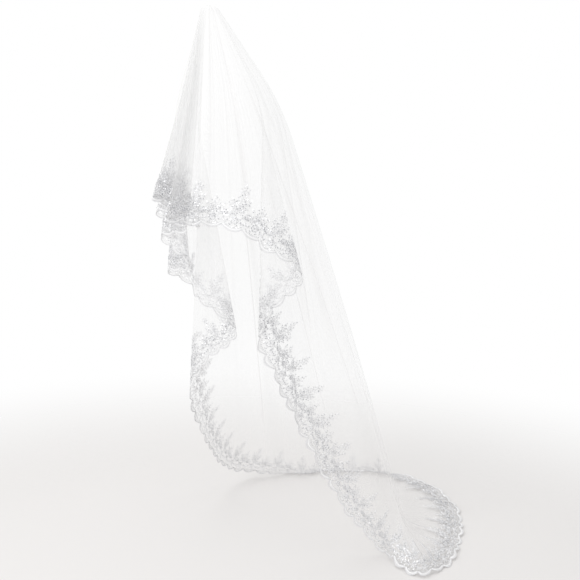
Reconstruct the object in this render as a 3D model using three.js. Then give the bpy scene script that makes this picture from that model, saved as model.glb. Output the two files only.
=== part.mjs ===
import * as THREE from 'three';

// A cathedral veil of one layer of tulle with a scalloped lace border all round,
// draped over the head as a tent: a short front, side cascades and a long train
// whose end lies on the floor. Millimetres, +Z up. The origin is the crown, where
// the veil sits on the head. The wearer faces -Y, and +X is the wearer's left.

const crownHeight = 1850;   // crown above the floor
const crownRadius = 24;     // small flat top where the veil sits
const crownDrop = 5;
const bendDrop = 292;       // the shoulders' height below the crown
const crownRound = 16;      // corner roundings along one line from the crown to the hem
const bendRound = 105;
const floorRound = 70;
const roundingShare = 0.47; // no rounding takes more of a straight stretch than this
const roundingSteps = 8;
const trainBillow = 12;     // outward swell of the longest lines, half way down
const billowFrom = 1300;    // lines shorter than this don't swell
const billowOver = 700;     // and it grows to the full swell over this much more
const lyingBefore = 60;     // the cloth starts to lie this far before it meets the floor
const lyingOver = 90;
const lyingRun = 70;        // stretches on the floor shorter than this lie only in part
const lyingLift = 0.9;      // share of the pleats' depth that stands up off the floor

const tulleWall = 1.2;
const laceWall = 1.0;
const laceGap = 0.35;

const scallopPitch = 60;    // one scallop of the border
const scallopDepth = 13;
const bandMiddle = 36;      // distances in from the hem
const bandInner = [62, 134, 62, 96];   // foot, tall sprig, foot, short sprig
const plainLine = 152;      // above this the cloth has no lace
const tangentReach = 40;    // the hem's direction is read this far to each side, and w more

const rippleCount = 37;     // shallow pleats counted round the whole hem
const rippleDepth = 6;

// One row for each fold or turn of the hem, from the left front round the back.
// x, y, z: the hem. landX, landY: where the cloth above it meets the floor, if it
// does, or bends outwards just over it. rise: how far above the floor it bends.
// turn, out: direction from the front and distance from the axis at the shoulders'
// height. A 'tuck' or 'turn' is where the hem folds back under.
const hemColumns = ['name', 'x', 'y', 'z', 'landX', 'landY', 'rise', 'turn', 'out'];
const hemRows = [
  ['left_breast',        180, -100,  -647, null, null, null,  58, 118],
  ['left_arm_front',     242,  -43,  -676, null, null, null,  74, 160],
  ['left_arm',           272,  -10,  -715, null, null, null,  83, 178],
  ['left_elbow',         311,   54,  -756, null, null, null,  91, 194],
  ['left_corner',        325,  101,  -812, null, null, null,  98, 204],
  ['left_return',        227,   92,  -903, null, null, null, 103, 204],
  ['left_inner_turn',    153,   57, -1027, null, null, null, 109, 190],
  ['left_edge_top',      167,   92, -1132, null, null, null, 113, 196],
  ['left_edge_high',     181,  142, -1242, null, null, null, 117, 202],
  ['left_edge_middle',   180,  212, -1373, null, null, null, 121, 206],
  ['left_edge_low',      214,  296, -1558,  214,  294,  307, 125, 210],
  ['left_edge_foot',     268,  390, -1737,  265,  381,  162, 129, 213],
  ['left_touch',         345,  465, -1850,  322,  447,  123, 132, 215],
  ['pool_front',         428,  438, -1850,  322,  508,  124, 134, 217],
  ['pool_left_front',    521,  451, -1850,  325,  537,  115, 137, 218],
  ['pool_left',          539,  532, -1850,  352,  555,   79, 140, 218],
  ['pool_left_back',     521,  632, -1850,  329,  594,   35, 145, 217],
  ['pool_tip',           400,  823, -1850,  212,  697,    0, 153, 214],
  ['pool_back',          249,  958, -1850,   76,  802,    0, 163, 208],
  ['train_end_left',      65, 1019, -1850,  -30,  900,    0, 173, 201],
  ['train_end',          -34, 1006, -1850,  -88,  938,    0, 181, 196],
  ['train_ridge',       -128,  971, -1850, -142,  940,    0, 188, 192],
  ['train_end_right',   -270,  850, -1850, -262,  815,    0, 197, 190],
  ['right_hem_back',    -360,  710, -1850, -345,  680,    0, 205, 190],
  ['right_hem',         -430,  560, -1838, null, null, null, 213, 192],
  ['right_hem_front',   -460,  430, -1800, null, null, null, 220, 194],
  ['right_edge_foot',   -417,  312, -1723, null, null, null, 227, 196],
  ['right_edge_low',    -335,  178, -1554, null, null, null, 235, 197],
  ['right_outer_turn',  -301,   92, -1364, null, null, null, 243, 195],
  ['right_edge_middle', -200,  100, -1200, null, null, null, 249, 184],
  ['right_inner_turn',   -60,  135, -1075, null, null, null, 253, 172],
  ['right_return_low',   -85,   75, -1000, null, null, null, 256, 172],
  ['right_return',      -150,   30,  -945, null, null, null, 260, 176],
  ['right_return_high', -200,   34,  -905, null, null, null, 264, 180],
  ['right_corner',      -265,   -5,  -868, null, null, null, 269, 184],
  ['right_tuck',        -122,   -8,  -828, null, null, null, 275, 158],
  ['right_arm_fold',    -220,  -60,  -740, null, null, null, 287, 142],
  ['right_arm_tuck',    -101,  -40,  -702, null, null, null, 295,  88],
  ['right_breast_fold', -175, -101,  -645, null, null, null, 303, 102],
  ['right_breast_tuck',  -74,  -67,  -630, null, null, null, 312,  54],
  ['front_right_fold',  -122, -150,  -590, null, null, null, 320,  98],
  ['front_right_tuck',   -48,  -86,  -598, null, null, null, 330,  52],
  ['front_middle_fold',  -78, -180,  -575, null, null, null, 339, 100],
  ['front_middle_tuck',  -18,  -98,  -590, null, null, null, 348,  52],
  ['front_fold',         -30, -205,  -574, null, null, null, 356, 102],
  ['front_left_tuck',     16, -104,  -623, null, null, null, 365,  54],
  ['front_left_fold',     44, -205,  -634, null, null, null, 373,  96],
  ['left_breast_tuck',    74, -103,  -657, null, null, null, 385,  58],
  ['left_breast_fold',   134, -166,  -641, null, null, null, 397, 100],
];

const rad = Math.PI / 180;
const mix = (a, b, t) => a + (b - a) * t;
const clamp = (v, lo, hi) => Math.min(hi, Math.max(lo, v));
const ease = (v) => { const t = clamp(v, 0, 1); return t * t * (3 - 2 * t); };
const distance = (a, b) => Math.hypot(a[0] - b[0], a[1] - b[1], a[2] - b[2]);
const between = (a, b, t) => [mix(a[0], b[0], t), mix(a[1], b[1], t), mix(a[2], b[2], t)];

const rows = hemRows.map((row) => {
  const r = Object.fromEntries(hemColumns.map((name, i) => [name, row[i]]));
  const land = r.landX === null ? [r.x, r.y, r.z] : [r.landX, r.landY, r.rise - crownHeight];
  return [r.x, r.y, r.z, ...land, r.turn, r.out];
});
const rowCount = rows.length;

// A closed smooth curve through the rows; turn winds once round, by 360 degrees.
function rowAt(p) {
  const i = Math.floor(p), t = p - i;
  const pick = (k) => {
    const lap = Math.floor(k / rowCount);
    const row = rows[k - lap * rowCount].slice();
    row[6] += 360 * lap;
    return row;
  };
  const [a, b, c, d] = [pick(i - 1), pick(i), pick(i + 1), pick(i + 2)];
  const v = b.map((_, n) => 0.5 * (2 * b[n] + (c[n] - a[n]) * t
    + (2 * a[n] - 5 * b[n] + 4 * c[n] - d[n]) * t * t
    + (3 * b[n] - a[n] - 3 * c[n] + d[n]) * t * t * t));
  const floorZ = -crownHeight + tulleWall / 2;
  return { hem: [v[0], v[1], Math.max(v[2], floorZ)], land: [v[3], v[4], Math.max(v[5], floorZ)], turn: v[6] * rad, out: v[7] };
}

// The line in the cloth from the crown to the hem, as points with their distances.
function lineAt(p) {
  const { hem, land, turn, out } = rowAt(p);
  const dir = [Math.sin(turn), -Math.cos(turn)];
  const knee = [dir[0] * crownRadius, dir[1] * crownRadius, -crownDrop];
  const bend = [dir[0] * out, dir[1] * out, -bendDrop];
  const stops = [[0, 0, 0], knee, bend, land, hem];
  const roundings = [0, crownRound, bendRound, floorRound, 0];
  if (distance(land, hem) < 2) { stops.splice(3, 1); roundings.splice(3, 1); }
  const points = [stops[0]];
  for (let k = 1; k < stops.length - 1; k += 1) {
    const [a, b, c] = [stops[k - 1], stops[k], stops[k + 1]];
    const cut = Math.min(roundings[k], roundingShare * distance(a, b), roundingShare * distance(b, c));
    const start = between(b, a, cut / distance(a, b)), end = between(b, c, cut / distance(b, c));
    for (let q = 0; q <= roundingSteps; q += 1) {
      const t = q / roundingSteps;
      points.push(between(between(start, b, t), between(b, end, t), t));
    }
  }
  points.push(stops[stops.length - 1]);
  const bendAt = distance(stops[0], knee) + distance(knee, bend);
  const lengths = [0];
  for (let k = 1; k < points.length; k += 1) lengths.push(lengths[k - 1] + distance(points[k - 1], points[k]));
  return { points, lengths, total: lengths[lengths.length - 1], dir, bendAt, run: distance(land, hem) };
}

// The flat cut: each line keeps its length, and the angle between lines opens so
// that the hem keeps its length too.
const perRow = 24;
const stations = [];
{
  let arc = 0, angle = 0, before = null;
  for (let k = 0; k <= rowCount * perRow; k += 1) {
    const p = k / perRow, total = lineAt(p).total, hem = rowAt(p).hem;
    if (before) {
      const step = distance(hem, before.hem), radial = total - before.total;
      arc += step;
      angle += Math.sqrt(Math.max(step * step - radial * radial, 0)) / (0.5 * (total + before.total));
    }
    before = { p, hem, total, arc, angle };
    stations.push(before);
  }
}
const hemLength = stations[stations.length - 1].arc;
const openAngle = stations[stations.length - 1].angle;

const stationAt = (p) => {
  const k = (p - Math.floor(p / rowCount) * rowCount) * perRow, i = Math.min(Math.floor(k), stations.length - 2);
  return { arc: mix(stations[i].arc, stations[i + 1].arc, k - i) };
};

// The row number where a running total (arc or angle) reaches a value, going round.
function rowWhere(key, value) {
  const whole = stations[stations.length - 1][key];
  const lap = Math.floor(value / whole), v = value - lap * whole;
  let lo = 0, hi = stations.length - 1;
  while (hi - lo > 1) {
    const m = (lo + hi) >> 1;
    if (stations[m][key] > v) hi = m; else lo = m;
  }
  const a = stations[lo], b = stations[hi], gap = b[key] - a[key];
  const t = gap > 1e-9 ? (v - a[key]) / gap : 0;
  return {
    p: mix(a.p, b.p, t) + lap * rowCount, total: mix(a.total, b.total, t),
    angle: mix(a.angle, b.angle, t) + lap * openAngle,
  };
}

// A place in the cloth: arc along the hem, then straight in from it by a distance.
function inward(arc, w) {
  const flat = (s) => {
    const r = rowWhere('arc', s);
    return [r.total * Math.cos(r.angle), r.total * Math.sin(r.angle), r];
  };
  const reach = tangentReach + w;
  const here = flat(arc), back = flat(arc - reach), on = flat(arc + reach);
  const tx = on[0] - back[0], ty = on[1] - back[1], size = Math.hypot(tx, ty);
  const x = here[0] - (ty / size) * w, y = here[1] + (tx / size) * w;
  let angle = Math.atan2(y, x);
  angle += 2 * Math.PI * Math.round((here[2].angle - angle) / (2 * Math.PI));
  return { p: w === 0 ? here[2].p : rowWhere('angle', angle).p, rho: Math.hypot(x, y) };
}

// The middle of the cloth's thickness at a row number and a distance from the crown.
function clothAt(p, rho) {
  const line = lineAt(p);
  const { points, lengths } = line;
  const r = clamp(rho, 0, line.total);
  let k = 1;
  while (k < lengths.length - 1 && lengths[k] < r) k += 1;
  const at = between(points[k - 1], points[k], (r - lengths[k - 1]) / (lengths[k] - lengths[k - 1]));
  const hangTo = line.total - line.run;
  const down = clamp((r - line.bendAt) / Math.max(hangTo - line.bendAt, 1), 0, 1);
  const swell = trainBillow * Math.sin(Math.PI * down) * ease((hangTo - billowFrom) / billowOver);
  const around = stationAt(p).arc / hemLength;
  const wave = rippleDepth * (r / line.total) ** 2 * Math.sin(2 * Math.PI * rippleCount * around);
  const lying = ease((r - hangTo + lyingBefore) / lyingOver) * ease(line.run / lyingRun);
  const push = swell + wave * (1 - lying);
  return [at[0] + line.dir[0] * push, at[1] + line.dir[1] * push,
    Math.max(at[2], -crownHeight + tulleWall / 2) + lying * (rippleDepth + wave) * lyingLift];
}

// Rows of points from the crown to the hem. Each row keeps some of the columns.
const columns = 4 * Math.round(hemLength / (2 * scallopPitch));
const columnArc = hemLength / columns;
const rowNumber = (name) => hemRows.findIndex((row) => row[0] === name);
const trainFrom = rowNumber('left_edge_high'), trainTo = rowNumber('right_outer_turn');
const inTrain = (p) => p > trainFrom && p < trainTo;
const finerRows = 5;        // the first of these rows keep twice as many columns
const trainRun = 120;       // rows follow 'train' fully where this much cloth lies on the floor
const upperShares = {       // shares of the way from the crown to the plain line
  fold: [0.88, 0.74, 0.60, 0.47, 0.36, 0.27, 0.195, 0.135, 0.085],
  train: [0.955, 0.90, 0.76, 0.58, 0.40, 0.29, 0.195, 0.135, 0.08],
};
const capDistances = [25, 12];

const vertices = [];   // middle of the cloth
const meshRows = [];   // lists of { j, index }, hem first
function addRow(keep, place) {
  const row = [];
  for (let j = 0; j < columns; j += 1) {
    if (keep(j)) { row.push({ j, index: vertices.length }); vertices.push(place(j)); }
  }
  meshRows.push(row);
}
const hemAt = (j) => rowWhere('arc', j * columnArc).p;
const placed = (j, w) => { const { p, rho } = inward(j * columnArc, w); return clothAt(p, rho); };
addRow(() => true, (j) => placed(j, j % 2 ? 0 : scallopDepth));
addRow(() => true, (j) => placed(j, bandMiddle));
addRow(() => true, (j) => placed(j, bandInner[j % 4]));
addRow((j) => !inTrain(hemAt(j)) || j % 2 === 0, (j) => placed(j, plainLine));
upperShares.fold.forEach((foldShare, k) => {
  const step = k < finerRows ? [1, 4] : [2, 8];
  addRow((j) => j % (inTrain(hemAt(j)) ? step[1] : step[0]) === 0, (j) => {
    const { p, rho } = inward(j * columnArc, plainLine);
    const lying = ease(lineAt(p).run / trainRun);
    return clothAt(p, rho * mix(foldShare, upperShares.train[k], lying));
  });
});
for (const d of capDistances) {
  addRow((j) => j % (inTrain(hemAt(j)) ? 8 : 4) === 0, (j) => clothAt(inward(j * columnArc, plainLine).p, d));
}
const apex = vertices.length;
vertices.push([0, 0, 0]);

// Triangles of the middle surface between neighbouring rows, outside counterclockwise.
function strip(outer, inner) {
  const list = [];
  const at = (row, k) => ({ j: row[k % row.length].j + columns * Math.floor(k / row.length), index: row[k % row.length].index });
  let a = 0, b = 0;
  while (a < outer.length || b < inner.length) {
    const midA = a < outer.length ? (at(outer, a).j + at(outer, a + 1).j) / 2 : Infinity;
    const midB = b < inner.length ? (at(inner, b).j + at(inner, b + 1).j) / 2 : Infinity;
    if (midA <= midB) { list.push([at(outer, a).index, at(outer, a + 1).index, at(inner, b).index]); a += 1; }
    else { list.push([at(outer, a).index, at(inner, b + 1).index, at(inner, b).index]); b += 1; }
  }
  return list;
}
const strips = [];
for (let k = 0; k + 1 < meshRows.length; k += 1) strips.push(strip(meshRows[k], meshRows[k + 1]));
const top = meshRows[meshRows.length - 1];
strips.push(top.map((v, k) => [v.index, top[(k + 1) % top.length].index, apex]));

// Directions out of the cloth. In a tight fold a plain average can point through one
// side, so each is nudged until it looks away from all the triangles that it serves.
const leastFacing = 0.35;
const nudge = 0.08;
const mostNudges = 60;
const sides = vertices.map(() => []);
for (const t of strips.flat()) {
  const [va, vb, vc] = t.map((i) => new THREE.Vector3(...vertices[i]));
  const n = vb.clone().sub(va).cross(vc.clone().sub(va)).normalize();
  for (const i of t) sides[i].push(n);
}
const normals = sides.map((faces) => {
  const n = faces.reduce((sum, f) => sum.add(f), new THREE.Vector3()).normalize();
  for (let k = 0; k < mostNudges; k += 1) {
    const worst = faces.reduce((w, f) => (f.dot(n) < w.dot(n) ? f : w));
    if (worst.dot(n) > leastFacing) break;
    n.addScaledVector(worst, nudge).normalize();
  }
  return n;
});

// A closed wall between two distances from the middle surface.
function wall(triangles, low, high) {
  const used = new Map();
  const position = [], index = [];
  const vertexAt = (i, side) => {
    const key = i * 2 + side;
    if (!used.has(key)) {
      used.set(key, position.length / 3);
      const n = normals[i], d = side ? high : low, v = vertices[i];
      position.push(v[0] + n.x * d, v[1] + n.y * d, v[2] + n.z * d);
    }
    return used.get(key);
  };
  const edges = new Map();
  for (const t of triangles) {
    index.push(...t.map((i) => vertexAt(i, 1)), ...[t[0], t[2], t[1]].map((i) => vertexAt(i, 0)));
    t.forEach((i, k) => edges.set(i + '_' + t[(k + 1) % 3], [i, t[(k + 1) % 3]]));
  }
  for (const [i, k] of edges.values()) {
    if (edges.has(k + '_' + i)) continue;
    index.push(vertexAt(i, 1), vertexAt(i, 0), vertexAt(k, 0), vertexAt(i, 1), vertexAt(k, 0), vertexAt(k, 1));
  }
  const geometry = new THREE.BufferGeometry();
  geometry.setAttribute('position', new THREE.Float32BufferAttribute(position, 3));
  geometry.setIndex(index);
  geometry.computeVertexNormals();
  return geometry;
}

function piece(name, geometry, color, roughness) {
  const mesh = new THREE.Mesh(geometry, new THREE.MeshStandardMaterial({ color, roughness, metalness: 0 }));
  mesh.name = name;
  return mesh;
}

const veil = new THREE.Group();
veil.add(piece('tulle', wall(strips.flat(), -tulleWall / 2, tulleWall / 2), 0xf6f6f6, 0.8));
const laceLow = tulleWall / 2 + laceGap;
veil.add(piece('lace_border', wall(strips.slice(0, 2).flat(), laceLow, laceLow + laceWall), 0xdedfe2, 0.6));

export default veil;
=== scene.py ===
import math
import bpy
import numpy as np
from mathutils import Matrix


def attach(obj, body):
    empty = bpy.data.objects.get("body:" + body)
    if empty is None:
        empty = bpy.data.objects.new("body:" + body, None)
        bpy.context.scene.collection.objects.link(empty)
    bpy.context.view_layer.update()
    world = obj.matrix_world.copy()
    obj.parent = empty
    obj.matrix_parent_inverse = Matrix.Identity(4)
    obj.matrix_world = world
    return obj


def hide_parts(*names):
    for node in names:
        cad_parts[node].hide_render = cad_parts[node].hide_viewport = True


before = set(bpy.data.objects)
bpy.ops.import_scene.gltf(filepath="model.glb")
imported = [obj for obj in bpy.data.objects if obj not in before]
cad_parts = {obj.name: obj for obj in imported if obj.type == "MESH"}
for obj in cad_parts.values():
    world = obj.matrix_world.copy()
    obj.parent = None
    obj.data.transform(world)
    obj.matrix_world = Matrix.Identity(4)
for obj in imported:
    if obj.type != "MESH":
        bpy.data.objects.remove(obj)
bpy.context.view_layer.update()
scene = bpy.context.scene
scene.view_settings.view_transform = "Standard"  # keeps whites white
scene.cycles.transparent_max_bounces = 64  # many sheer layers lie behind each other
bpy.ops.object.select_all(action="DESELECT")
print("frame loaded:", ", ".join(sorted(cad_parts)))


# Camera, floor and light

studio = {
    "cameraPlace": (2.3293, -1.6360, -0.2250),
    "cameraTilt": 76.95,        # degrees
    "cameraTurn": 50.0,
    "lens": 55.86,
    "floorHeight": -1.8506,
    "floorCentre": (0.69, -0.58),
    "floorRadius": 3.4,
    "floorFade": (1.65, 3.1),   # the floor melts into the backdrop between these radii
    "floorColour": (0.775, 0.76, 0.75),
    "backdrop": 1.0,            # brightness as seen, and as it lights the veil
    "fill": 0.78,
    "lightsAim": (0.0, 0.3, -0.9),
    "softboxes": {
        "keySoftbox": {"place": (0.6, -3.4, 1.6), "size": 2.4, "power": 60},
        "topSoftbox": {"place": (-0.4, 0.2, 2.4), "size": 3.0, "power": 40},
    },
}


def addNode(tree, kind, place, **values):
    node = tree.nodes.new(kind)
    node.location = place
    for name, value in values.items():
        if name in node.inputs:
            put(node, name, value)
        else:
            setattr(node, name, value)
    return node


def put(node, socket, value):
    node.inputs[socket].default_value = value


def join(tree, source, output, target, socket):
    tree.links.new(source.outputs[output], target.inputs[socket])


def rangeTo(tree, place, low, high, **values):
    # turns a factor from 0 to 1 into a value between these two
    node = addNode(tree, "ShaderNodeMapRange", place, **values)
    put(node, "To Min", low)
    put(node, "To Max", high)
    return node


def twoTone(tree, place, dark, light):
    # turns a factor into a colour between these two
    node = addNode(tree, "ShaderNodeMix", place, data_type="RGBA")
    put(node, "A", (*dark, 1))
    put(node, "B", (*light, 1))
    return node


def buildStudio():
    bpy.ops.object.camera_add(
        location=studio["cameraPlace"],
        rotation=(math.radians(studio["cameraTilt"]), 0, math.radians(studio["cameraTurn"])))
    scene.camera = bpy.context.object
    scene.camera.data.lens = studio["lens"]
    scene.camera.data.sensor_width = 36

    bpy.ops.mesh.primitive_circle_add(vertices=96, radius=studio["floorRadius"], fill_type="NGON")
    floor = bpy.context.object
    floor.name = "studioFloor"
    floor.location = (*studio["floorCentre"], studio["floorHeight"])
    floorPaint = bpy.data.materials.new("floorPaper")
    floorPaint.use_nodes = True
    tree = floorPaint.node_tree
    tree.nodes.clear()
    coords = addNode(tree, "ShaderNodeTexCoord", (-900, 0))
    length = addNode(tree, "ShaderNodeVectorMath", (-700, 0), operation="LENGTH")
    fade = addNode(tree, "ShaderNodeMapRange", (-500, 0), interpolation_type="SMOOTHSTEP")
    put(fade, "From Min", studio["floorFade"][0])
    put(fade, "From Max", studio["floorFade"][1])
    paper = addNode(tree, "ShaderNodeBsdfDiffuse", (-500, -250), Color=(*studio["floorColour"], 1))
    clear = addNode(tree, "ShaderNodeBsdfTransparent", (-500, -400))
    mixed = addNode(tree, "ShaderNodeMixShader", (-200, -100))
    output = addNode(tree, "ShaderNodeOutputMaterial", (0, -100))
    join(tree, coords, "Object", length, 0)
    join(tree, length, "Value", fade, "Value")
    join(tree, fade, "Result", mixed, "Fac")
    join(tree, paper, "BSDF", mixed, 1)
    join(tree, clear, "BSDF", mixed, 2)
    join(tree, mixed, "Shader", output, "Surface")
    floor.data.materials.append(floorPaint)

    world = bpy.data.worlds.new("studioBackdrop")
    scene.world = world
    world.use_nodes = True
    tree = world.node_tree
    tree.nodes.clear()
    path = addNode(tree, "ShaderNodeLightPath", (-600, 100))
    seen = addNode(tree, "ShaderNodeBackground", (-400, -150), Strength=studio["backdrop"])
    lit = addNode(tree, "ShaderNodeBackground", (-400, 0), Strength=studio["fill"])
    put(seen, "Color", (1, 1, 1, 1))
    put(lit, "Color", (1, 1, 1, 1))
    mixed = addNode(tree, "ShaderNodeMixShader", (-150, 0))
    output = addNode(tree, "ShaderNodeOutputWorld", (50, 0))
    join(tree, path, "Is Camera Ray", mixed, "Fac")
    join(tree, lit, "Background", mixed, 1)
    join(tree, seen, "Background", mixed, 2)
    join(tree, mixed, "Shader", output, "Surface")

    for name, box in studio["softboxes"].items():
        bpy.ops.object.light_add(type="AREA", location=box["place"])
        lamp = bpy.context.object
        lamp.name = name
        lamp.data.size = box["size"]
        lamp.data.energy = box["power"]
        aim = np.array(studio["lightsAim"]) - np.array(box["place"])
        flat = math.hypot(aim[0], aim[1])
        lamp.rotation_euler = (math.atan2(flat, -aim[2]), 0, math.atan2(-aim[0], aim[1]))
    bpy.ops.object.select_all(action="DESELECT")


buildStudio()
print("studio ready")


# The shape of the veil: crown, shoulders' line and hem, as in the part's source

veil = {
    "crownHeight": 1850.0,      # millimetres, as all sizes here
    "crownRadius": 24.0,
    "crownDrop": 5.0,
    "bendDrop": 292.0,
    "crownRound": 16.0,
    "bendRound": 105.0,
    "floorRound": 70.0,
    "roundingShare": 0.47,      # no rounding takes more of a straight stretch than this
    "roundingSteps": 8,
    "trainBillow": 12.0,        # outward swell of the longest lines, half way down
    "billowFrom": 1300.0,       # lines shorter than this don't swell
    "billowOver": 700.0,
    "lyingBefore": 60.0,        # the cloth starts to lie this far before it lands
    "lyingOver": 90.0,          # and lies after this much more
    "lyingRun": 70.0,           # shorter stretches past the landing lie only in part
    "lyingLift": 0.9,           # share of the pleats' depth that stands up off the floor
    "clearOfFloor": 0.6,
    "rippleCount": 37,          # shallow pleats round the whole hem
    "rippleDepth": 6.0,
    "scallopPitch": 60.0,
    "scallopDepth": 13.0,
    "scallopPower": 2.1,
    "plainLine": 152.0,         # above this the cloth has no lace
    "tangentReach": 40.0,       # the hem's direction is read this far to each side, and w more
    "stationsPerRow": 24,
}

# name, x, y, z of the hem, turn from the front in degrees and distance out at the
# shoulders' height; then, where the cloth meets the floor or bends outwards over it,
# landX and landY of that bend and its rise over the floor
hemRows = [
    ("left_breast", 180, -100, -647, 58, 118),
    ("left_arm_front", 242, -43, -676, 74, 160),
    ("left_arm", 272, -10, -715, 83, 178),
    ("left_elbow", 311, 54, -756, 91, 194),
    ("left_corner", 325, 101, -812, 98, 204),
    ("left_return", 227, 92, -903, 103, 204),
    ("left_inner_turn", 153, 57, -1027, 109, 190),
    ("left_edge_top", 167, 92, -1132, 113, 196),
    ("left_edge_high", 181, 142, -1242, 117, 202),
    ("left_edge_middle", 180, 212, -1373, 121, 206),
    ("left_edge_low", 214, 296, -1558, 125, 210, 214, 294, 307),
    ("left_edge_foot", 268, 390, -1737, 129, 213, 265, 381, 162),
    ("left_touch", 345, 465, -1850, 132, 215, 322, 447, 123),
    ("pool_front", 428, 438, -1850, 134, 217, 322, 508, 124),
    ("pool_left_front", 521, 451, -1850, 137, 218, 325, 537, 115),
    ("pool_left", 539, 532, -1850, 140, 218, 352, 555, 79),
    ("pool_left_back", 521, 632, -1850, 145, 217, 329, 594, 35),
    ("pool_tip", 400, 823, -1850, 153, 214, 212, 697, 0),
    ("pool_back", 249, 958, -1850, 163, 208, 76, 802, 0),
    ("train_end_left", 65, 1019, -1850, 173, 201, -30, 900, 0),
    ("train_end", -34, 1006, -1850, 181, 196, -88, 938, 0),
    ("train_ridge", -128, 971, -1850, 188, 192, -142, 940, 0),
    ("train_end_right", -270, 850, -1850, 197, 190, -262, 815, 0),
    ("right_hem_back", -360, 710, -1850, 205, 190, -345, 680, 0),
    ("right_hem", -430, 560, -1838, 213, 192),
    ("right_hem_front", -460, 430, -1800, 220, 194),
    ("right_edge_foot", -417, 312, -1723, 227, 196),
    ("right_edge_low", -335, 178, -1554, 235, 197),
    ("right_outer_turn", -301, 92, -1364, 243, 195),
    ("right_edge_middle", -200, 100, -1200, 249, 184),
    ("right_inner_turn", -60, 135, -1075, 253, 172),
    ("right_return_low", -85, 75, -1000, 256, 172),
    ("right_return", -150, 30, -945, 260, 176),
    ("right_return_high", -200, 34, -905, 264, 180),
    ("right_corner", -265, -5, -868, 269, 184),
    ("right_tuck", -122, -8, -828, 275, 158),
    ("right_arm_fold", -220, -60, -740, 287, 142),
    ("right_arm_tuck", -101, -40, -702, 295, 88),
    ("right_breast_fold", -175, -101, -645, 303, 102),
    ("right_breast_tuck", -74, -67, -630, 312, 54),
    ("front_right_fold", -122, -150, -590, 320, 98),
    ("front_right_tuck", -48, -86, -598, 330, 52),
    ("front_middle_fold", -78, -180, -575, 339, 100),
    ("front_middle_tuck", -18, -98, -590, 348, 52),
    ("front_fold", -30, -205, -574, 356, 102),
    ("front_left_tuck", 16, -104, -623, 365, 54),
    ("front_left_fold", 44, -205, -634, 373, 96),
    ("left_breast_tuck", 74, -103, -657, 385, 58),
    ("left_breast_fold", 134, -166, -641, 397, 100),
]


def tableRow(x, y, z, turn, out, landX=None, landY=None, rise=0):
    land = (x, y, z) if landX is None else (landX, landY, rise - veil["crownHeight"])
    return (x, y, z, *land, turn, out)


rowTable = np.array([tableRow(*row[1:]) for row in hemRows], dtype=float)
rowCount = len(rowTable)


def ease(v):
    t = np.clip(v, 0, 1)
    return t * t * (3 - 2 * t)


def rowAt(p):
    # a closed smooth curve through the rows, read at the row numbers p
    i = np.floor(p).astype(int)
    t = (p - i)[:, None]

    def pick(k):
        lap = np.floor_divide(k, rowCount)
        row = rowTable[k - lap * rowCount].copy()
        row[:, 6] += 360 * lap
        return row

    a, b, c, d = pick(i - 1), pick(i), pick(i + 1), pick(i + 2)
    v = 0.5 * (2 * b + (c - a) * t + (2 * a - 5 * b + 4 * c - d) * t ** 2
               + (3 * b - a - 3 * c + d) * t ** 3)
    floorZ = -veil["crownHeight"] + veil["clearOfFloor"]
    v[:, 2] = np.maximum(v[:, 2], floorZ)
    v[:, 5] = np.maximum(v[:, 5], floorZ)
    return v


def lineAt(p):
    v = rowAt(p)
    hem, land, turn, out = v[:, 0:3], v[:, 3:6], np.radians(v[:, 6]), v[:, 7]
    away = np.stack([np.sin(turn), -np.cos(turn)], 1)
    knee = np.column_stack([away * veil["crownRadius"], np.full(len(p), -veil["crownDrop"])])
    bend = np.column_stack([away * out[:, None], np.full(len(p), -veil["bendDrop"])])
    stops = [np.zeros_like(knee), knee, bend, land, hem]
    gaps = [np.maximum(np.linalg.norm(stops[k + 1] - stops[k], axis=1), 1e-6) for k in range(4)]
    points = [stops[0]]
    for k, rounding in ((1, veil["crownRound"]), (2, veil["bendRound"]), (3, veil["floorRound"])):
        cut = np.minimum(rounding, veil["roundingShare"] * np.minimum(gaps[k - 1], gaps[k]))
        start = stops[k] + (stops[k - 1] - stops[k]) * (cut / gaps[k - 1])[:, None]
        end = stops[k] + (stops[k + 1] - stops[k]) * (cut / gaps[k])[:, None]
        for t in np.linspace(0, 1, veil["roundingSteps"] + 1):
            low = start + (stops[k] - start) * t
            high = stops[k] + (end - stops[k]) * t
            points.append(low + (high - low) * t)
    points.append(stops[4])
    points = np.stack(points, 1)
    lengths = np.cumsum(np.linalg.norm(np.diff(points, axis=1), axis=2), axis=1)
    lengths = np.concatenate([np.zeros((len(p), 1)), lengths], 1)
    return {
        "points": points, "lengths": lengths, "total": lengths[:, -1], "away": away,
        "bendAt": gaps[0] + gaps[1], "run": np.linalg.norm(land - hem, axis=1), "hem": hem}


# The flat cut: each line keeps its length and the angle between lines opens so that
# the hem keeps its length too.
stationRow = np.arange(rowCount * veil["stationsPerRow"] + 1) / veil["stationsPerRow"]
stationLine = lineAt(stationRow)
stationTotal = stationLine["total"]
stationStep = np.linalg.norm(np.diff(stationLine["hem"], axis=0), axis=1)
stationArc = np.concatenate([[0], np.cumsum(stationStep)])
radial = np.diff(stationTotal)
opening = np.sqrt(np.maximum(stationStep ** 2 - radial ** 2, 0)) / (
    0.5 * (stationTotal[1:] + stationTotal[:-1]))
stationAngle = np.concatenate([[0], np.cumsum(opening)])
hemLength = stationArc[-1]
openAngle = stationAngle[-1]
repeats = int(round(hemLength / (2 * veil["scallopPitch"])))
scallopLength = hemLength / (2 * repeats)


def rowWhere(track, value):
    # row number, line length and flat angle where a running total reaches a value
    lap = np.floor(value / track[-1])
    v = value - lap * track[-1]
    return (np.interp(v, track, stationRow) + lap * rowCount,
            np.interp(v, track, stationTotal),
            np.interp(v, track, stationAngle) + lap * openAngle)


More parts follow.
